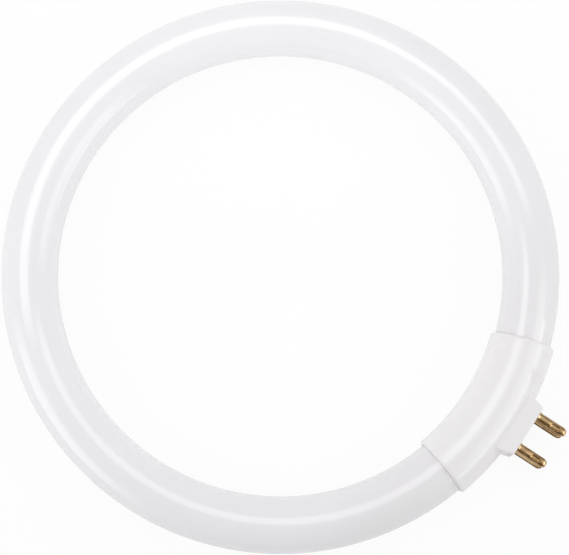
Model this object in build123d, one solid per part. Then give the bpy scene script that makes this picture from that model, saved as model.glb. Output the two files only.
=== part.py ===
from build123d import *
import os
from math import cos, degrees, radians, sin, tan

# Ring-shaped fluorescent tube. One white-coated glass tube is bent into a ring, and its two sealed ends meet
# inside a moulded base. The base is two half shells that close on the tube in the plane of the ring. Each
# half carries two hollow brass pins, and a lead wire runs from the glass into every pin, where a punched dent
# grips it.
#
# Millimetres. +Z is the axis of the ring and +X the way the pins point. The origin is on the front face of
# the base, in the middle of the pins, so the centre of the ring lies at -X.

# Glass ring
RING_OUTSIDE = 122.0  # across the outside of the bent tube
TUBE_DIAMETER = 12.4
GLASS_WALL = 0.8
GLASS_END_WALL = 1.4  # thickness of the fused glass that closes each end
GLASS_END_ROUND = 1.8  # shoulder where the tube wall turns into its closed end
EXHAUST_DIAMETER = 2.8  # tipped-off stub that the tube was pumped out through
EXHAUST_LENGTH = 3.2

# Base
SEAT_LENGTH = 9.0  # length of glass held in each end of the base
CHAMBER_LENGTH = 15.5  # along the tube's centreline, between the two closed glass ends
BASE_WALL = 0.8
GLASS_CLEARANCE = 0.1  # all round the glass, filled by a film of glue
BASE_END_ROUND = 0.65  # outer edge at each end of the base
SEAM_BEVEL = 0.12  # edge break along the joint between the half shells
BLOCK_MARGIN_ACROSS = 1.05  # plastic beside the pin shoulders, where the front face meets the joint
BLOCK_MARGIN_UP = 0.65
BLOCK_PROUD = 1.8  # front face beyond the outermost line of the sleeve
BLOCK_DRAFT = 3.0  # degrees that the sides lean in with height, so that each half leaves its tool
BLOCK_SPLAY = 14.0  # degrees that the sides spread from the front face towards the sleeve
BLOCK_EDGE_ROUND = 0.4

# Contact pins
PIN_SPACING_ACROSS = 7.92
PIN_SPACING_UP = 6.35
PIN_DIAMETER = 2.1
PIN_LENGTH = 7.0  # from the front face to the tip
PIN_TIP_LENGTH = 1.1
PIN_TIP_FLAT = 1.1  # across the flat that is left at the tip
PIN_TIP_HOLE = 0.6
PIN_BORE = 1.2
PIN_BORE_END_WALL = 1.2  # brass left between the bore and the tip
SHOULDER_DIAMETER = 2.5
SHOULDER_THICKNESS = 0.45
SHANK_DIAMETER = 1.7
SHANK_LENGTH = 2.4  # plastic gripped between the shoulder and the swaged end
SWAGE_DIAMETER = 2.7
SWAGE_THICKNESS = 0.5
SWAGE_CLEARANCE = 0.1

# Punched dent that grips the wire
DENT_FROM_TIP = 2.6  # middle of the dent
DENT_LENGTH = 2.6
DENT_PUNCH = 1.3  # diameter of the round-nosed punch
DENT_DEPTH = 0.45
CRIMP_START = 2.0  # from the front face, where the brass that the punch displaces starts to fill the bore

# Lead wires
WIRE_DIAMETER = 0.4
WIRE_SPACING = 4.4  # between the two wires that leave one glass end
WIRE_SEAL = 0.7  # depth that a wire is fused into the glass
WIRE_STRAIGHT = 2.0  # straight out of the glass before the first bend
WIRE_LEAD_IN = 2.6  # straight run in front of the pin's mouth
WIRE_END_CLEARANCE = 0.25  # between the cut end of the wire and the end of the pin's bore
WIRE_CLEARANCE = 0.02
BEND_SHARE = 0.45  # part of the shorter run that a bend may use on each side

# Worked out from the sizes above
TUBE_RADIUS = TUBE_DIAMETER / 2
RING_RADIUS = RING_OUTSIDE / 2 - TUBE_RADIUS
BORE_RADIUS = TUBE_RADIUS + GLASS_CLEARANCE
SLEEVE_RADIUS = BORE_RADIUS + BASE_WALL
FACE_RADIUS = RING_RADIUS + SLEEVE_RADIUS + BLOCK_PROUD
BLOCK_WIDTH = PIN_SPACING_ACROSS + SHOULDER_DIAMETER + 2 * BLOCK_MARGIN_ACROSS
BLOCK_HEIGHT = PIN_SPACING_UP + SHOULDER_DIAMETER + 2 * BLOCK_MARGIN_UP
CHAMBER_HALF_ANGLE = degrees(CHAMBER_LENGTH / 2 / RING_RADIUS)
BASE_HALF_ANGLE = degrees((CHAMBER_LENGTH / 2 + SEAT_LENGTH) / RING_RADIUS)
WIRE_DROP = PIN_BORE / 2 - WIRE_DIAMETER / 2 - WIRE_CLEARANCE
SWAGE_END = SHANK_LENGTH + SWAGE_THICKNESS
BORE_END = PIN_LENGTH - PIN_BORE_END_WALL
DENT_FROM_FACE = PIN_LENGTH - DENT_FROM_TIP

# Left is +Y, and right is -Y, for someone at the centre of the ring who looks along the pins.
SIDES = {"left": 1, "right": -1}
HALVES = {"upper": 1, "lower": -1}

# The pieces are drawn about the centre of the ring and then set back to the front face.
TO_FRONT_FACE = Pos(-FACE_RADIUS, 0, 0)


def tube_arc(radius, start, end):
    """A round bar of this radius bent about the ring's axis, from one angle to another."""
    section = Plane.XZ * Pos(RING_RADIUS, 0) * Circle(radius)
    return Rot(0, 0, start) * revolve(section, Axis.Z, end - start)


def flat_end_edges(bar):
    """The edges round the flat ends of a bent bar."""
    return bar.faces().filter_by(GeomType.PLANE).edges()


def glass_end(side):
    """Plane on a closed glass end: its normal leaves the glass, and its X runs up the ring's axis."""
    angle = radians(CHAMBER_HALF_ANGLE)
    centre = (RING_RADIUS * cos(angle), side * RING_RADIUS * sin(angle), 0)
    return Plane(centre, x_dir=(0, 0, 1), z_dir=(sin(angle), -side * cos(angle), 0))


def exhaust_stub(side):
    """The round-nosed glass stub in the middle of a closed end, rooted in the end wall."""
    root = GLASS_END_WALL / 2
    bar = extrude(Circle(EXHAUST_DIAMETER / 2), EXHAUST_LENGTH + root)
    nose = bar.edges().group_by(Axis.Z)[-1]
    return glass_end(side) * Pos(0, 0, -root) * fillet(nose, EXHAUST_DIAMETER * 0.4)


def wire_seal(side, half):
    """The blind hole in a closed end that one lead wire is fused into."""
    hole = extrude(Circle(WIRE_DIAMETER / 2), -WIRE_SEAL)
    return glass_end(side) * Pos(half * WIRE_SPACING / 2, 0, 0) * hole


def glass_tube():
    """The bent tube: a hollow wall all the way round, closed by fused glass at both ends."""
    outside = tube_arc(TUBE_RADIUS, CHAMBER_HALF_ANGLE, 360 - CHAMBER_HALF_ANGLE)
    outside = fillet(flat_end_edges(outside), GLASS_END_ROUND)
    inside_start = CHAMBER_HALF_ANGLE + degrees(GLASS_END_WALL / RING_RADIUS)
    inside = tube_arc(TUBE_RADIUS - GLASS_WALL, inside_start, 360 - inside_start)
    inside = fillet(flat_end_edges(inside), GLASS_END_ROUND - GLASS_WALL)
    tube = outside - inside
    for side in SIDES.values():
        tube += exhaust_stub(side)
        for half in HALVES.values():
            tube -= wire_seal(side, half)
    return tube


def upper_half(whole):
    """The part of a solid above the plane of the ring."""
    return split(whole, Plane.XY, keep=Keep.TOP)


def half_sleeve():
    """The bent sleeve above the plane of the ring, still solid, with its joint edges broken."""
    sleeve = tube_arc(SLEEVE_RADIUS, -BASE_HALF_ANGLE, BASE_HALF_ANGLE)
    half = upper_half(fillet(flat_end_edges(sleeve), BASE_END_ROUND))
    return chamfer(half.faces().sort_by(Axis.Z)[0].edges(), SEAM_BEVEL)


def block_plan(height):
    """The block's outline at a height above the joint: its sides spread from the front face to the sleeve."""
    front = BLOCK_WIDTH / 2 - height * tan(radians(BLOCK_DRAFT))
    back = front + (FACE_RADIUS - RING_RADIUS) * tan(radians(BLOCK_SPLAY))
    corners = [(RING_RADIUS, -back), (FACE_RADIUS, -front), (FACE_RADIUS, front), (RING_RADIUS, back)]
    return Plane.XY.offset(height) * make_face(Polyline(*corners, close=True))


def half_block():
    """Half of the block that the pins stand on, from mid-sleeve out to the upright front face."""
    block = loft([block_plan(0), block_plan(BLOCK_HEIGHT / 2)], ruled=True)
    unseen = block.edges().group_by(Axis.X)[0] + block.edges().group_by(Axis.Z)[0]
    half = fillet([edge for edge in block.edges() if edge not in unseen], BLOCK_EDGE_ROUND)
    joint_edges = half.faces().sort_by(Axis.Z)[0].edges().sort_by(Axis.X)
    return chamfer(joint_edges[1:], SEAM_BEVEL)


def pin_axis(side, half):
    """Where a pin's axis meets the front face."""
    return Pos(FACE_RADIUS, side * PIN_SPACING_ACROSS / 2, half * PIN_SPACING_UP / 2)


def round_bar(diameter, start, end):
    """A round bar along X, between two distances from the front face."""
    return extrude(Plane.YZ.offset(start) * Circle(diameter / 2), end - start)


def base_shell_upper():
    """The upper half shell: half of a bent sleeve and of the pin block, bored for the glass and the pins."""
    overrun = 1.0
    shell = half_sleeve() + half_block()
    shell -= tube_arc(BORE_RADIUS, -BASE_HALF_ANGLE - overrun, BASE_HALF_ANGLE + overrun)
    to_cavity = RING_RADIUS - FACE_RADIUS
    for side in SIDES.values():
        hole = round_bar(SHANK_DIAMETER, to_cavity, overrun)
        recess = round_bar(SWAGE_DIAMETER + 2 * SWAGE_CLEARANCE, to_cavity, -SHANK_LENGTH)
        shell -= pin_axis(side, 1) * (hole + recess)
    return shell


def contact_pin():
    """One hollow brass pin along X, front face at zero, with the punched dent on its upper side."""
    barrel_end = PIN_LENGTH - PIN_TIP_LENGTH
    outline = [
        (-SWAGE_END, 0),
        (-SWAGE_END, SWAGE_DIAMETER / 2),
        (-SHANK_LENGTH, SWAGE_DIAMETER / 2),
        (-SHANK_LENGTH, SHANK_DIAMETER / 2),
        (0, SHANK_DIAMETER / 2),
        (0, SHOULDER_DIAMETER / 2),
        (SHOULDER_THICKNESS, SHOULDER_DIAMETER / 2),
        (SHOULDER_THICKNESS, PIN_DIAMETER / 2),
        (barrel_end, PIN_DIAMETER / 2),
    ]
    tip = (PIN_LENGTH, PIN_TIP_FLAT / 2)
    profile = Polyline(*outline)
    profile += TangentArc(outline[-1], tip, tangent=(1, 0))
    profile += Polyline(tip, (PIN_LENGTH, 0), outline[0])
    pin = revolve(Plane.XZ * make_face(profile.edges()), Axis.X)
    pin -= round_bar(PIN_BORE, -SWAGE_END, BORE_END)
    pin -= round_bar(PIN_TIP_HOLE, 0, PIN_LENGTH)
    return pin + pressed_in_wall() - dent()


def pressed_in_wall():
    """Brass that the punch has pushed into the bore, from the top of the wire up, to the bore's end."""
    plug = round_bar(PIN_BORE, CRIMP_START, BORE_END)
    wire_top = -WIRE_DROP + WIRE_DIAMETER / 2 + WIRE_CLEARANCE
    return split(plug, Plane.XY.offset(wire_top), keep=Keep.TOP)


def dent():
    """The round-nosed punch's track, sunk into the upper side of the pin."""
    run = DENT_LENGTH - DENT_PUNCH
    punch = round_bar(DENT_PUNCH, -run / 2, run / 2)
    for end in (-run / 2, run / 2):
        punch += Pos(end, 0, 0) * Sphere(DENT_PUNCH / 2)
    height = PIN_DIAMETER / 2 - DENT_DEPTH + DENT_PUNCH / 2
    return Pos(DENT_FROM_FACE, 0, height) * punch


def bend_radius(before, corner, after):
    """As large a bend as two runs of wire leave room for."""
    first, second = Vector(*corner) - Vector(*before), Vector(*after) - Vector(*corner)
    shorter = min(first.length, second.length)
    return BEND_SHARE * shorter / tan(radians(first.get_angle(second) / 2))


def lead_wire():
    """The upper left wire: out of the glass, across the chamber and along the bottom of its pin's bore."""
    end = glass_end(SIDES["left"])
    height = WIRE_SPACING / 2
    across, level = PIN_SPACING_ACROSS / 2, PIN_SPACING_UP / 2 - WIRE_DROP
    mouth = FACE_RADIUS - SWAGE_END
    points = [
        tuple(end.from_local_coords((height, 0, -WIRE_SEAL))),
        tuple(end.from_local_coords((height, 0, WIRE_STRAIGHT))),
        (mouth - WIRE_LEAD_IN, across, level),
        (FACE_RADIUS + BORE_END - WIRE_END_CLEARANCE, across, level),
    ]
    radii = [bend_radius(*points[i:i + 3]) for i in range(len(points) - 2)]
    path = FilletPolyline(*points, radius=radii)
    start = Plane(points[0], z_dir=end.z_dir)
    return sweep(start * Circle(WIRE_DIAMETER / 2), path=path)


def build():
    """Every piece by name, set back so that the front face of the base is at the origin."""
    shell, pin, wire = base_shell_upper(), contact_pin(), lead_wire()
    pieces = {"glass_tube": glass_tube()}
    pieces["base_shell_upper"] = shell
    pieces["base_shell_lower"] = mirror(shell, Plane.XY)
    for half_name, half in HALVES.items():
        for side_name, side in SIDES.items():
            place = f"{half_name}_{side_name}"
            this_pin = pin if half > 0 else mirror(pin, Plane.XY)
            this_wire = wire if half > 0 else mirror(wire, Plane.XY)
            pieces["contact_pin_" + place] = pin_axis(side, half) * this_pin
            pieces["lead_wire_" + place] = this_wire if side > 0 else mirror(this_wire, Plane.XZ)
    return {name: TO_FRONT_FACE * piece for name, piece in pieces.items()}


os.makedirs("parts", exist_ok=True)
for name, piece in build().items():
    export_step(piece, f"parts/{name}.step")
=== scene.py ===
import bpy
import numpy as np
from mathutils import Matrix, Vector


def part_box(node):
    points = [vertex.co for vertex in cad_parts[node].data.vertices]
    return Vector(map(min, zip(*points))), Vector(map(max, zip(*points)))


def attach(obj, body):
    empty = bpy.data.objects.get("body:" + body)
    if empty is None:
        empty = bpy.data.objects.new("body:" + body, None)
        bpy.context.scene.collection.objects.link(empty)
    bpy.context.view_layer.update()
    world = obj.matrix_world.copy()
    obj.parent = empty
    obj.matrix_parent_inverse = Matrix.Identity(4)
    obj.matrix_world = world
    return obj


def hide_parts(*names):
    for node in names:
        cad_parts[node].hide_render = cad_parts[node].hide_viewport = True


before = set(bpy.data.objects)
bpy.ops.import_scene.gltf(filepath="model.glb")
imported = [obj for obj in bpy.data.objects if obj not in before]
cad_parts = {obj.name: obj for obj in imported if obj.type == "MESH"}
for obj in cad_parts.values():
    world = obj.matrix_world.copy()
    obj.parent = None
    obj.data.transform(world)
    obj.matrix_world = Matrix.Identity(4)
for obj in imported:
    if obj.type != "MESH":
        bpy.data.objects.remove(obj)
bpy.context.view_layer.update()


# Glass tube. Soda-lime tubing, drawn round, softened and bent into a ring, with a white powder baked on its
# inside. Both ends are closed by fused glass inside the base, where a tipped-off stub is left from the pump.
MM = 0.001
GLASS_END_GAP = 15.5 * MM  # between the two closed ends, along the middle of the tube
GLASS_END_ROUND = 1.8 * MM
STUB_RADIUS = 1.4 * MM
STUB_LENGTH = 3.2 * MM
STUB_NOSE = 1.12 * MM
STUB_SIDE = (-0.4, -0.05)  # straight part of the stub, as shares of its length
STUB_FOOT = 0.1 * MM  # small fillet where the stub leaves the flat end
NOSE_START = 176  # degrees: the nose stops short of its pole, which closes it
CLOUD_WIDTH = 12 * MM  # of the clouds in the powder
GREY_START = 55  # degrees round the ring from the middle of the base, where the ends begin to turn grey
GREY_FULL = 25
GLASS_STATIONS = 560  # along the ring
GLASS_AROUND = 88

glass_low, glass_high = (np.array(corner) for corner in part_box("glass_tube"))
TUBE_RADIUS = (glass_high[2] - glass_low[2]) / 2
RING_RADIUS = (glass_high[1] - glass_low[1]) / 2 - TUBE_RADIUS
RING_CENTRE_X = glass_low[0] + RING_RADIUS + TUBE_RADIUS


def linear(colour):
    """An sRGB hex colour as linear red, green, blue and full alpha: each channel through the sRGB curve."""
    channels = np.array([int(colour[i:i + 2], 16) for i in (0, 2, 4)]) / 255
    low, high = channels / 12.92, ((channels + 0.055) / 1.055) ** 2.4
    return (*np.where(channels <= 0.04045, low, high), 1.0)


def arc(centre, radius, start, end, count):
    """Points (along, radius) on a circle about a centre: the angle runs evenly from start to end, in
    degrees."""
    angle = np.radians(np.linspace(start, end, count))
    return np.stack([centre[0] + radius * np.cos(angle), centre[1] + radius * np.sin(angle)], axis=1)


def skin(name, rings, closed=False, poles=()):
    """Mesh through a stack of rings, an array (ring, point, 3). Neighbouring points of neighbouring rings
    make a quad, and each ring closes on itself. A closed stack joins its last ring to its first, and two
    poles close an open stack with fans of triangles."""
    stack, around = rings.shape[:2]
    here = np.arange(stack * around).reshape(stack, around)
    beside = np.roll(here, -1, axis=1)
    last = stack if closed else stack - 1
    ahead, beside_ahead = np.roll(here, -1, axis=0), np.roll(beside, -1, axis=0)
    quads = np.stack([here, ahead, beside_ahead, beside], axis=2)[:last].reshape(-1, 4)
    points, faces = rings.reshape(-1, 3), quads.tolist()
    for pole, (first, second) in zip(poles, ((here[0], beside[0]), (beside[-1], here[-1]))):
        faces += np.stack([first, second, np.full(around, len(points))], axis=1).tolist()
        points = np.vstack([points, pole])
    mesh = bpy.data.meshes.new(name)
    mesh.from_pydata(points.tolist(), [], faces)
    mesh.shade_smooth()
    piece = bpy.data.objects.new(name, mesh)
    bpy.context.scene.collection.objects.link(piece)
    return piece


def glass_profile():
    """Half of the tube's outline as (distance into the glass, radius): the stub's round nose and side, the
    flat end wall, the round shoulder, and the point where the even tube starts."""
    nose_middle = (STUB_NOSE - STUB_LENGTH, STUB_RADIUS - STUB_NOSE)
    nose = arc(nose_middle, STUB_NOSE, NOSE_START, 90, 8)
    side = np.array([[share * STUB_LENGTH, STUB_RADIUS] for share in STUB_SIDE])
    flat = np.linspace([0, STUB_RADIUS + STUB_FOOT], [0, TUBE_RADIUS - GLASS_END_ROUND], 4)
    shoulder_middle = (GLASS_END_ROUND, TUBE_RADIUS - GLASS_END_ROUND)
    shoulder = arc(shoulder_middle, GLASS_END_ROUND, 180, 90, 12)
    return np.vstack([nose, side, flat, shoulder[1:]])


def bend_round_ring(along, radius):
    """Rings of the bent tube: a station this far from one closed end stands at that arc length round the
    ring, with a circle of its radius in the plane of the ring's own radius and axis."""
    turn = (GLASS_END_GAP / 2 + along) / RING_RADIUS
    around = np.linspace(0, 2 * np.pi, GLASS_AROUND, endpoint=False)
    reach = RING_RADIUS + radius[:, None] * np.cos(around)
    height = radius[:, None] * np.sin(around)
    x = RING_CENTRE_X + reach * np.cos(turn)[:, None]
    return np.stack([x, reach * np.sin(turn)[:, None], height], axis=2)


def glass_tube():
    """The end profile, an even tube round the ring, and the end profile again in reverse."""
    length = 2 * np.pi * RING_RADIUS - GLASS_END_GAP
    start = glass_profile()
    even = np.linspace(GLASS_END_ROUND, length - GLASS_END_ROUND, GLASS_STATIONS)[1:-1]
    along = np.concatenate([start[:, 0], even, length - start[::-1, 0]])
    radius = np.concatenate([start[:, 1], np.full(len(even), TUBE_RADIUS), start[::-1, 1]])
    tips = bend_round_ring(np.array([-STUB_LENGTH, length + STUB_LENGTH]), np.zeros(2))[:, 0]
    return skin("glass_tube_skin", bend_round_ring(along, radius), poles=tips)


# A Mix node's two colour inputs and its colour output, by number
COLOUR_A, COLOUR_B, MIXED = 6, 7, 2


def add_node(material, kind, links=(), sockets=(), **settings):
    """Adds one shader node. A setting is an input socket, or else a property of the node, and its name holds
    _ for a space. Sockets gives inputs their values by number. Each link is an input of this node with the
    node and output that feed it."""
    node = material.node_tree.nodes.new(kind)
    for key, value in settings.items():
        socket = node.inputs.get(key.replace("_", " "))
        if socket is None:
            setattr(node, key, value)
        else:
            socket.default_value = value
    for number, value in sockets:
        node.inputs[number].default_value = value
    for name, source, output in links:
        material.node_tree.links.new(source.outputs[output], node.inputs[name])
    return node


def new_material(name):
    """An empty material with nodes."""
    material = bpy.data.materials.new(name)
    material.use_nodes = True
    material.node_tree.nodes.clear()
    return material


def coated_glass():
    """Clear glass over a matt white powder: a cool, even white below a sharp gloss. The powder lies in faint
    clouds, and its colour is mixed a little greyer round the ring towards the base, on both sides of it."""
    material = new_material("soda-lime glass over white phosphor")
    place = add_node(material, "ShaderNodeTexCoord")
    clouds = add_node(material, "ShaderNodeTexNoise", [("Vector", place, "Object")],
                      Scale=1 / CLOUD_WIDTH, Detail=3.0, Roughness=0.55)
    powder = add_node(material, "ShaderNodeMix", [("Factor", clouds, "Fac")],
                      [(COLOUR_A, linear("E9E7EA")), (COLOUR_B, linear("EEEDF0"))], data_type="RGBA")
    along = add_node(material, "ShaderNodeSeparateXYZ", [("Vector", place, "Object")])
    start, full = RING_CENTRE_X + RING_RADIUS * np.cos(np.radians([GREY_START, GREY_FULL]))
    near_base = add_node(material, "ShaderNodeMapRange", [("Value", along, "X")],
                         interpolation_type="SMOOTHSTEP", From_Min=start, From_Max=full)
    greyed = add_node(material, "ShaderNodeMix", [("Factor", near_base, 0), (COLOUR_A, powder, MIXED)],
                      [(COLOUR_B, linear("E7E5E7"))], data_type="RGBA")
    surface = add_node(material, "ShaderNodeBsdfPrincipled", [("Base Color", greyed, MIXED)],
                       Roughness=0.55, Coat_Weight=1.0, Coat_Roughness=0.06, Coat_IOR=1.6)
    add_node(material, "ShaderNodeOutputMaterial", [("Surface", surface, "BSDF")])
    return material


tube = glass_tube()
tube.data.materials.append(coated_glass())
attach(tube, "root")
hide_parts("glass_tube")


# Base shells. Two white thermoplastic mouldings that close on the tube ends in the plane of the ring and are
# bonded along that joint. Each carries half of the block that the pins are riveted into.
FLOW_MARK = 5 * MM
PEEL_WIDTH = 0.9 * MM
PEEL_DEPTH = 0.05 * MM


def moulded_plastic():
    """White PBT from a fine-spark tool: flow marks a few millimetres long in the white, a faint orange peel,
    and a soft gloss that is duller where the peel is deeper."""
    material = new_material("moulded white PBT")
    place = add_node(material, "ShaderNodeTexCoord")
    flow = add_node(material, "ShaderNodeTexNoise", [("Vector", place, "Object")],
                    Scale=1 / FLOW_MARK, Detail=2.0, Distortion=0.8)
    white = add_node(material, "ShaderNodeMix", [("Factor", flow, "Fac")],
                     [(COLOUR_A, linear("ECEAEB")), (COLOUR_B, linear("F0EEEF"))], data_type="RGBA")
    peel = add_node(material, "ShaderNodeTexNoise", [("Vector", place, "Object")],
                    Scale=1 / PEEL_WIDTH, Detail=2.0)
    gloss = add_node(material, "ShaderNodeMapRange", [("Value", peel, "Fac")], To_Min=0.14, To_Max=0.24)
    relief = add_node(material, "ShaderNodeBump", [("Height", peel, "Fac")],
                      Strength=0.05, Distance=PEEL_DEPTH)
    surface = add_node(material, "ShaderNodeBsdfPrincipled",
                       [("Base Color", white, MIXED), ("Roughness", gloss, 0),
                        ("Normal", relief, "Normal")], IOR=1.55)
    add_node(material, "ShaderNodeOutputMaterial", [("Surface", surface, "BSDF")])
    return material


plastic = moulded_plastic()
for name in ("base_shell_upper", "base_shell_lower"):
    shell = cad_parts[name]
    shell.data.materials.clear()
    shell.data.materials.append(plastic)


# Contact pins. Hollow pins drawn from brass, each pressed through the block up to its shoulder and swaged
# over inside. A round-nosed punch has dented the wall near the tip, so that it grips the lead wire.
PIN_RADIUS = 1.05 * MM
PIN_LENGTH = 7.0 * MM
BORE_RADIUS = 0.6 * MM
TIP_LENGTH = 1.1 * MM
TIP_FLAT = 0.55 * MM
TIP_HOLE = 0.3 * MM
TIP_WALL = 1.2 * MM
SHOULDER_RADIUS = 1.25 * MM
SHOULDER_THICKNESS = 0.45 * MM
SHANK_RADIUS = 0.85 * MM
SHANK_LENGTH = 2.4 * MM
SWAGE_RADIUS = 1.35 * MM
SWAGE_THICKNESS = 0.5 * MM
EDGE_BREAK = 0.06 * MM
DENT_MIDDLE = 4.4 * MM  # from the front face of the block
DENT_RUN = 1.3 * MM  # straight part of the punch between its two round ends
DENT_NOSE = 0.65 * MM
DENT_DEPTH = 0.45 * MM
PIN_AROUND = 80
DRAWN_LINE = 0.12 * MM
LINE_STRETCH = 0.04  # a line's width as a share of its length
LINE_DEPTH = 0.01 * MM
STAIN_WIDTH = 1.6 * MM
PIN_PLACES = [f"{half}_{side}" for half in ("upper", "lower") for side in ("left", "right")]


def pin_profile():
    """The pin's closed outline as (distance from the front face, radius): swaged end, shank, shoulder with a
    tapered front, barrel, a tip curve that leaves the barrel in line with it, the tip hole, and the bore
    back to the start. Edges are rounded."""
    rear, bore_end = -SHANK_LENGTH - SWAGE_THICKNESS, PIN_LENGTH - TIP_WALL
    tip_start = PIN_LENGTH - TIP_LENGTH
    swage = arc((rear + EDGE_BREAK, SWAGE_RADIUS - EDGE_BREAK), EDGE_BREAK, 180, 90, 5)
    shank = np.array([[-SHANK_LENGTH, SWAGE_RADIUS], [-SHANK_LENGTH, SHANK_RADIUS], [0, SHANK_RADIUS]])
    seat = arc((EDGE_BREAK, SHOULDER_RADIUS - EDGE_BREAK), EDGE_BREAK, 180, 90, 5)
    taper = np.linspace([2 * EDGE_BREAK, SHOULDER_RADIUS], [SHOULDER_THICKNESS, PIN_RADIUS], 8)
    neck = taper[-1:] + [EDGE_BREAK, 0]
    dented = np.linspace(DENT_MIDDLE - DENT_RUN / 2 - DENT_NOSE, tip_start, 56)
    barrel = np.column_stack([dented, np.full(len(dented), PIN_RADIUS)])
    curve = (TIP_LENGTH ** 2 / (PIN_RADIUS - TIP_FLAT) + PIN_RADIUS - TIP_FLAT) / 2
    tip = arc((tip_start, PIN_RADIUS - curve), curve, 90, np.degrees(np.arccos(TIP_LENGTH / curve)), 14)
    mouth = arc((PIN_LENGTH - EDGE_BREAK, TIP_HOLE + EDGE_BREAK), EDGE_BREAK, 0, -90, 5)
    step = np.array([[bore_end, TIP_HOLE], [bore_end, BORE_RADIUS]])
    inside = dented[dented < bore_end][::-1]
    bore = np.column_stack([inside, np.full(len(inside), BORE_RADIUS)])
    bore_mouth = np.array([[rear, BORE_RADIUS]])
    return np.vstack([swage, shank, seat, taper, neck, barrel, tip[1:], mouth, step, bore, bore_mouth])


def contact_pin(name, box, half):
    """The outline turned about the pin's axis. Below the punch the outside sinks to its nose: the nose's
    middle height less the root of the nose radius squared less the squares of the distances from its middle
    line. The bore sinks to a wall's thickness below that. A lower pin is an upper one mirrored."""
    along, radius = pin_profile().T
    around = np.linspace(0, 2 * np.pi, PIN_AROUND, endpoint=False)
    x = np.repeat(along[:, None], PIN_AROUND, axis=1)
    y, z = radius[:, None] * np.sin(around), radius[:, None] * np.cos(around)
    past_run = np.clip(np.abs(x - DENT_MIDDLE) - DENT_RUN / 2, 0, None)
    room = DENT_NOSE ** 2 - y ** 2 - past_run ** 2
    nose = PIN_RADIUS - DENT_DEPTH + DENT_NOSE - np.sqrt(np.clip(room, 0, None))
    wall = np.where(radius > BORE_RADIUS, 0, PIN_RADIUS - BORE_RADIUS)[:, None]
    z = np.where(room > 0, np.minimum(z, nose - wall), z)
    low, high = np.array(box)
    middle = (low + high) / 2
    rings = np.stack([x, y[:, ::half] + middle[1], half * z[:, ::half] + middle[2]], axis=2)
    return skin(name + "_skin", rings, closed=True)


def drawn_brass():
    """Brass gone a little brown: fine drawn lines along the pin, brighter and duller in turn, and stains a
    millimetre or two across."""
    material = new_material("drawn brass")
    place = add_node(material, "ShaderNodeTexCoord")
    stretched = add_node(material, "ShaderNodeMapping", [("Vector", place, "Object")],
                         Scale=(LINE_STRETCH, 1, 1))
    lines = add_node(material, "ShaderNodeTexNoise", [("Vector", stretched, "Vector")],
                     Scale=1 / DRAWN_LINE, Detail=3.0, Roughness=0.6)
    stains = add_node(material, "ShaderNodeTexNoise", [("Vector", place, "Object")],
                      Scale=1 / STAIN_WIDTH, Detail=4.0)
    stained = add_node(material, "ShaderNodeMapRange", [("Value", stains, "Fac")],
                       From_Min=0.42, From_Max=0.68)
    metal = add_node(material, "ShaderNodeMix", [("Factor", lines, "Fac")],
                     [(COLOUR_A, linear("B69A72")), (COLOUR_B, linear("D2B48A"))], data_type="RGBA")
    colour = add_node(material, "ShaderNodeMix", [("Factor", stained, 0), (COLOUR_A, metal, MIXED)],
                      [(COLOUR_B, linear("A2845C"))], data_type="RGBA")
    gloss = add_node(material, "ShaderNodeMapRange", [("Value", lines, "Fac")], To_Min=0.08, To_Max=0.22)
    relief = add_node(material, "ShaderNodeBump", [("Height", lines, "Fac")],
                      Strength=0.15, Distance=LINE_DEPTH)
    surface = add_node(material, "ShaderNodeBsdfPrincipled",
                       [("Base Color", colour, MIXED), ("Roughness", gloss, 0),
                        ("Normal", relief, "Normal")], Metallic=1.0)
    add_node(material, "ShaderNodeOutputMaterial", [("Surface", surface, "BSDF")])
    return material


brass = drawn_brass()
for place_name in PIN_PLACES:
    pin_name = "contact_pin_" + place_name
    pin = contact_pin(pin_name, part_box(pin_name), 1 if "upper" in place_name else -1)
    pin.data.materials.append(brass)
    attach(pin, "root")
    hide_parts(pin_name)


# Lead wires. Nickel-plated wire, fused into each closed glass end and led across the inside of the base into
# the bores of the pins, where the dents grip it.
WIRE_LINE = 0.08 * MM
WIRE_LINE_STRETCH = 0.05  # a line's width as a share of its length


def nickel_wire():
    """Drawn nickel: a grey metal with lighter and darker drawn lines, and a dull shine."""
    material = new_material("drawn nickel wire")
    place = add_node(material, "ShaderNodeTexCoord")
    stretched = add_node(material, "ShaderNodeMapping", [("Vector", place, "Object")],
                         Scale=(WIRE_LINE_STRETCH, 1, 1))
    lines = add_node(material, "ShaderNodeTexNoise", [("Vector", stretched, "Vector")],
                     Scale=1 / WIRE_LINE, Detail=3.0)
    metal = add_node(material, "ShaderNodeMix", [("Factor", lines, "Fac")],
                     [(COLOUR_A, linear("A49E93")), (COLOUR_B, linear("C6C0B4"))], data_type="RGBA")
    gloss = add_node(material, "ShaderNodeMapRange", [("Value", lines, "Fac")], To_Min=0.28, To_Max=0.42)
    surface = add_node(material, "ShaderNodeBsdfPrincipled",
                       [("Base Color", metal, MIXED), ("Roughness", gloss, 0)], Metallic=1.0)
    add_node(material, "ShaderNodeOutputMaterial", [("Surface", surface, "BSDF")])
    return material


nickel = nickel_wire()
for place_name in PIN_PLACES:
    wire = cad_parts["lead_wire_" + place_name]
    wire.data.materials.clear()
    wire.data.materials.append(nickel)


# Floor. A matt white table top that the ring lies on. It touches the base at its lowest line and the glass
# opposite, so it slopes a little in the part's own frame.
FLOOR_HALF = 2.5
SEEN_WHITE = 0.9  # part of the floor that shows as plain white to the camera and in reflections
FLOOR_MIRRORED = 0.3  # part of that white which a reflection shows

base_bottom = np.array([RING_CENTRE_X + RING_RADIUS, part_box("base_shell_lower")[0][2]])
glass_bottom = np.array([RING_CENTRE_X - RING_RADIUS, -TUBE_RADIUS])
floor_slope = (base_bottom[1] - glass_bottom[1]) / (base_bottom[0] - glass_bottom[0])


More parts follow.
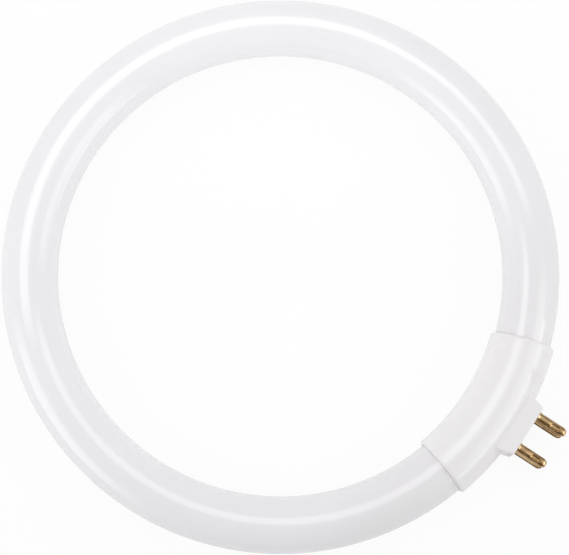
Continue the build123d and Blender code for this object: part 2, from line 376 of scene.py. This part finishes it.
def floor_mesh():
    """A square whose height falls evenly along X, through the two lines that it carries the ring on."""
    corners = np.array([[-1, -1], [1, -1], [1, 1], [-1, 1]]) * FLOOR_HALF
    heights = base_bottom[1] + floor_slope * (corners[:, 0] - base_bottom[0])
    mesh = bpy.data.meshes.new("floor")
    mesh.from_pydata(np.column_stack([corners, heights]).tolist(), [], [(0, 1, 2, 3)])
    return mesh


def seen_directly(material, mirrored=1.0):
    """1 for rays from the camera or through glass, this much for rays from a reflection, and 0 for light
    that is scattered."""
    path = add_node(material, "ShaderNodeLightPath")
    through = add_node(material, "ShaderNodeMath",
                       [(0, path, "Is Camera Ray"), (1, path, "Is Transmission Ray")], operation="MAXIMUM")
    glossy = add_node(material, "ShaderNodeMath", [(0, path, "Is Glossy Ray")], [(1, mirrored)],
                      operation="MULTIPLY")
    return add_node(material, "ShaderNodeMath", [(0, through, 0), (1, glossy, 0)], operation="MAXIMUM")


def white_table():
    """Matt white that still takes a shadow: most of what is seen of it is plain white, and the rest is
    lit."""
    material = new_material("matt white table")
    lit = add_node(material, "ShaderNodeBsdfDiffuse", Color=linear("FAFAFA"))
    plain = add_node(material, "ShaderNodeEmission", Color=linear("FFFFFF"), Strength=1.0)
    share = add_node(material, "ShaderNodeMath", [(0, seen_directly(material, FLOOR_MIRRORED), 0)],
                     [(1, SEEN_WHITE)], operation="MULTIPLY")
    both = add_node(material, "ShaderNodeMixShader", [(0, share, 0), (1, lit, 0), (2, plain, 0)])
    add_node(material, "ShaderNodeOutputMaterial", [("Surface", both, 0)])
    return material


floor = bpy.data.objects.new("floor", floor_mesh())
floor.data.materials.append(white_table())
bpy.context.scene.collection.objects.link(floor)


# Room. White walls all round, far away and with no corners, which light the ring evenly. They are dimmer
# as a light than as the background that is seen.
ROOM_LIGHT = 0.725

room = bpy.data.worlds.new("white room")
room.use_nodes = True
room.node_tree.nodes.clear()
behind = add_node(room, "ShaderNodeMapRange", [("Value", seen_directly(room), 0)],
                  To_Min=ROOM_LIGHT, To_Max=1.0)
walls = add_node(room, "ShaderNodeBackground", [("Strength", behind, 0)], Color=linear("FFFFFF"))
add_node(room, "ShaderNodeOutputWorld", [("Surface", walls, 0)])
bpy.context.scene.world = room


# Camera. Almost straight above the ring, leaning a little towards the lower edge of the picture, and turned
# so that the pins point to the lower right.
PICTURE_WIDTH = 569  # pixels
PICTURE_CENTRE = (284.5, 277.5)
RING_PIXELS = 557.6  # across the outside of the glass
RING_CENTRE_PIXEL = (280.6, 273.3)
PINS_BELOW_RIGHT = 33.15  # degrees clockwise from the picture's right
CAMERA_LEAN = 7.3  # degrees from straight above
LEAN_TURN = 3.6  # degrees that the lean is turned from the picture's own upright
CAMERA_DISTANCE = 0.5
SENSOR = 36.0
UPWARD = np.array([0, 0, 1])

ring_centre = np.array([RING_CENTRE_X, 0, 0])
pins_turn = np.radians(PINS_BELOW_RIGHT)
right = np.array([np.cos(pins_turn), np.sin(pins_turn), 0])
up = np.array([-np.sin(pins_turn), np.cos(pins_turn), 0])
metres_per_pixel = 2 * (RING_RADIUS + TUBE_RADIUS) / RING_PIXELS
aside, below = np.subtract(PICTURE_CENTRE, RING_CENTRE_PIXEL) * metres_per_pixel
target = ring_centre + aside * right - below * up
lean_turn, lean = np.radians(LEAN_TURN), np.radians(CAMERA_LEAN)
lean_way = np.cos(lean_turn) * up + np.sin(lean_turn) * right
away = np.cos(lean) * UPWARD - np.sin(lean) * lean_way
sight_right = np.cross(up, away)
sight_right /= np.linalg.norm(sight_right)
sight_up = np.cross(away, sight_right)

lens = bpy.data.cameras.new("camera")
lens.sensor_width = SENSOR
lens.lens = SENSOR * CAMERA_DISTANCE / (PICTURE_WIDTH * metres_per_pixel)
camera = bpy.data.objects.new("camera", lens)
bpy.context.scene.collection.objects.link(camera)
turned = Matrix([sight_right, sight_up, away]).transposed().to_4x4()
eye = target + CAMERA_DISTANCE * away
camera.matrix_world = Matrix.Translation(Vector(eye)) @ turned
bpy.context.scene.camera = camera


# Soft lamps. White cloth boxes, most of them turned to the far side of the ring, that add to the room's
# light. They stay out of reflections, where the strips of the next section take their place.
def picture_way(turn):
    """Level direction, counted in degrees from the picture's right over its upper side."""
    angle = np.radians(turn)
    return np.cos(angle) * right + np.sin(angle) * up


def over_ring(turn, reach, height):
    """A place above the ring: this far from its axis in a picture direction, and this high."""
    return ring_centre + reach * picture_way(turn) + height * UPWARD


def soft_lamp(name, spot, aim, wide, high, radiance, mirrored=False):
    """A flat lamp that faces its aim, with its width level. It lights what is round it and shows in no
    reflection, or else it shows in reflections and lights nothing."""
    light = bpy.data.lights.new(name, "AREA")
    light.shape = "RECTANGLE"
    light.size, light.size_y = wide, high
    light.energy = radiance * np.pi * wide * high
    lamp = bpy.data.objects.new(name, light)
    facing = Vector(aim - spot).to_track_quat("-Z", "Y").to_matrix().to_4x4()
    lamp.matrix_world = Matrix.Translation(Vector(spot)) @ facing
    lamp.visible_camera = False
    lamp.visible_glossy = mirrored
    lamp.visible_diffuse = not mirrored
    bpy.context.scene.collection.objects.link(lamp)


far_side = over_ring(turn=90, reach=RING_RADIUS, height=0)
soft_lamp("key", over_ring(turn=95, reach=0.09, height=0.105), far_side,
          wide=0.12, high=0.12, radiance=0.5)
soft_lamp("inside", over_ring(turn=270, reach=0.035, height=0.04), far_side,
          wide=0.03, high=0.03, radiance=1.3)
soft_lamp("far_inside", over_ring(turn=90, reach=0.018, height=0.014), far_side,
          wide=0.05, high=0.012, radiance=0.45)
soft_lamp("far_outside", over_ring(turn=96, reach=0.125, height=0.032), far_side,
          wide=0.2, high=0.04, radiance=0.48)
soft_lamp("fill_right", over_ring(turn=-6, reach=0.25, height=0.12), ring_centre,
          wide=0.2, high=0.2, radiance=1.0)
soft_lamp("fill_left", over_ring(turn=190, reach=0.25, height=0.12), ring_centre,
          wide=0.2, high=0.2, radiance=1.15)


# Strips. Long white lights that the glass and the base show as streaks along the ring. Each is bent so that
# its streak follows the ring, and it shows in reflections only.
STREAK_FADE = 14.0  # degrees over which a streak's end fades
STREAK_EDGE = 0.3  # part of a streak's width over which each edge fades
STRIP_STATIONS = 96
STRIP_ACROSS = 17


def only_mirrored(piece):
    """Puts a stage piece in the scene that shows in glossy reflections and nowhere else."""
    bpy.context.scene.collection.objects.link(piece)
    for rays in ("camera", "diffuse", "transmission", "volume_scatter", "shadow"):
        setattr(piece, "visible_" + rays, False)


def strip_light(spread):
    """Light added to whatever lies behind, as bright as the strip's own glow, and only towards rays that
    meet it almost squarely: full at no slant and gone at the spread, where slant is 1 less the cosine."""
    material = new_material("strip light")
    glow = add_node(material, "ShaderNodeAttribute", attribute_name="glow")
    slant = add_node(material, "ShaderNodeLayerWeight", Blend=0.5)
    square_on = add_node(material, "ShaderNodeMapRange", [("Value", slant, "Facing")],
                         From_Max=spread, To_Min=1.0, To_Max=0.0)
    strength = add_node(material, "ShaderNodeMath", [(0, glow, "Fac"), (1, square_on, 0)],
                        operation="MULTIPLY")
    light = add_node(material, "ShaderNodeEmission", [("Strength", strength, 0)])
    clear = add_node(material, "ShaderNodeBsdfTransparent")
    both = add_node(material, "ShaderNodeAddShader", [(0, light, 0), (1, clear, 0)])
    add_node(material, "ShaderNodeOutputMaterial", [("Surface", both, 0)])
    return material


def fade(distance, over):
    """A smooth rise from 0 at no distance to 1 at a distance of over: three times the square of their ratio,
    less twice its cube."""
    share = np.clip(distance / over, 0, 1)
    return share ** 2 * (3 - 2 * share)


def strip(name, turns, lows, highs, glows, reach, material):
    """A surface that the camera sees mirrored in the glass. It runs through turns round the ring, and at
    each turn it lies between a low and a high share of the tube's radius across it, as it shows in the
    picture. A sight line leaves the glass along twice its share of the normal, less itself, and goes on
    until its whole length is the camera's distance and the reach, so it meets the surface squarely. The
    glow is even across, with soft edges, and fades towards both ends."""
    turn = np.linspace(turns[0], turns[-1], STRIP_STATIONS)[:, None, None]
    across = np.linspace(0, 1, STRIP_ACROSS)[None, :, None]
    low, high, glow = (np.interp(turn, turns, values) for values in (lows, highs, glows))
    seen = low + across * (high - low)
    outward = picture_way(turn)
    share = seen - np.tan(lean) * np.sin(np.radians(turn))
    normal = share * outward + np.sqrt(1 - share ** 2) * UPWARD
    spot = ring_centre + RING_RADIUS * outward + TUBE_RADIUS * normal
    sight = eye - spot
    length = np.linalg.norm(sight, axis=2, keepdims=True)
    sight = sight / length
    mirrored = 2 * np.sum(normal * sight, axis=2, keepdims=True) * normal - sight
    points = spot + (CAMERA_DISTANCE + reach - length) * mirrored
    ends = fade(np.minimum(turn - turns[0], turns[-1] - turn), STREAK_FADE)
    edges = fade(np.minimum(across, 1 - across), STREAK_EDGE)
    here = np.arange(points.size // 3).reshape(points.shape[:2])
    quads = np.stack([here[:-1, :-1], here[1:, :-1], here[1:, 1:], here[:-1, 1:]], axis=2)
    mesh = bpy.data.meshes.new(name)
    mesh.from_pydata(points.reshape(-1, 3).tolist(), [], quads.reshape(-1, 4).tolist())
    mesh.shade_smooth()
    bright = mesh.attributes.new("glow", "FLOAT", "POINT")
    bright.data.foreach_set("value", (glow * edges * ends).ravel())
    mesh.materials.append(material)
    only_mirrored(bpy.data.objects.new(name, mesh))


narrow_beam, wide_beam = strip_light(spread=0.03), strip_light(spread=0.3)
strip("far_streak", turns=(8, 30, 60, 72, 90, 150, 200),
      lows=(-0.05, -0.07, -0.05, -0.02, 0.0, -0.03, -0.12),
      highs=(0.24, 0.22, 0.25, 0.34, 0.38, 0.38, 0.28),
      glows=(1.6, 1.7, 2.2, 2.4, 2.5, 2.4, 1.9), reach=0.2, material=narrow_beam)
strip("near_streak", turns=(186, 225, 260, 290, 335, 352, 374),
      lows=(-0.4, -0.42, -0.4, -0.4, -0.38, -0.46, -0.46),
      highs=(-0.1, -0.1, -0.08, -0.04, -0.05, -0.14, -0.14),
      glows=(1.6, 1.5, 1.6, 1.6, 1.6, 2.0, 2.0), reach=0.08, material=narrow_beam)
strip("base_streak", turns=(304, 350), lows=(-0.42, -0.42), highs=(-0.02, -0.02), glows=(1.3, 1.3),
      reach=0.1, material=wide_beam)
strip("right_window", turns=(126, 184), lows=(-0.62, -0.62), highs=(-0.34, -0.34), glows=(1.2, 1.2),
      reach=0.5, material=wide_beam)
strip("left_window", turns=(8, 35, 62), lows=(-0.76, -0.8, -0.72), highs=(-0.46, -0.44, -0.48),
      glows=(1.3, 1.5, 1.2), reach=0.8, material=wide_beam)


# Pin light and cards. A low lamp in front of the tips puts a spark on the brass. Matt cards that stand along
# the pins give it dark lines, one pair for each column of pins and a paler card on the other side.
PIN_ROW_HEIGHT = 3 * MM
PIN_LIGHT_AWAY = np.array([0.062, 0.012, 0.033])  # from the middle of the upper row
CARD_LENGTH = 2 * PIN_LENGTH
FLAG_BESIDE = 4 * MM  # from the pin's axis
HIGH_FLAG = (0.5 * MM, 14 * MM)  # its lower and upper edge, above the axis of the upper pin
LOW_FLAG = (-5 * MM, 0)  # above the axis of the lower pin
PALE_CARD_BESIDE = 14 * MM
PALE_CARD_BOTTOM = 3 * MM
PALE_CARD_TOP = 11 * MM


def card(name, start, end, bottom, top, colour):
    """An upright card near the pins, over the level line between two places given along and across the pins.
    It shows on the side that the line has on its left, and is clear from the other."""
    corners = [(*start, bottom), (*start, top), (*end, top), (*end, bottom)]
    mesh = bpy.data.meshes.new(name)
    mesh.from_pydata(corners, [], [(0, 1, 2, 3)])
    material = new_material("matt card")
    side = add_node(material, "ShaderNodeNewGeometry")
    paper = add_node(material, "ShaderNodeBsdfDiffuse", Color=linear(colour))
    clear = add_node(material, "ShaderNodeBsdfTransparent")
    either = add_node(material, "ShaderNodeMixShader",
                      [(0, side, "Backfacing"), (1, paper, 0), (2, clear, 0)])
    add_node(material, "ShaderNodeOutputMaterial", [("Surface", either, 0)])
    mesh.materials.append(material)
    only_mirrored(bpy.data.objects.new(name, mesh))


pin_middle = np.array([PIN_LENGTH / 2, 0, PIN_ROW_HEIGHT])
soft_lamp("pin_light", pin_middle + PIN_LIGHT_AWAY, pin_middle,
          wide=0.1, high=0.022, radiance=1.8, mirrored=True)
for side in ("left", "right"):
    pin_low, pin_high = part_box("contact_pin_upper_" + side)
    axis_y, axis_z = (pin_low[1] + pin_high[1]) / 2, (pin_low[2] + pin_high[2]) / 2
    start, end = (0, axis_y - FLAG_BESIDE), (CARD_LENGTH, axis_y - FLAG_BESIDE)
    card("flag_high_" + side, start, end, axis_z + HIGH_FLAG[0], axis_z + HIGH_FLAG[1], "9C9486")
    card("flag_low_" + side, start, end, -axis_z + LOW_FLAG[0], -axis_z + LOW_FLAG[1], "857D70")
card("card_left", (CARD_LENGTH, PALE_CARD_BESIDE), (0, PALE_CARD_BESIDE), PALE_CARD_BOTTOM, PALE_CARD_TOP,
     "A8A49C")


# Picture. Colours are shown as they are written.
bpy.context.scene.view_settings.view_transform = "Standard"
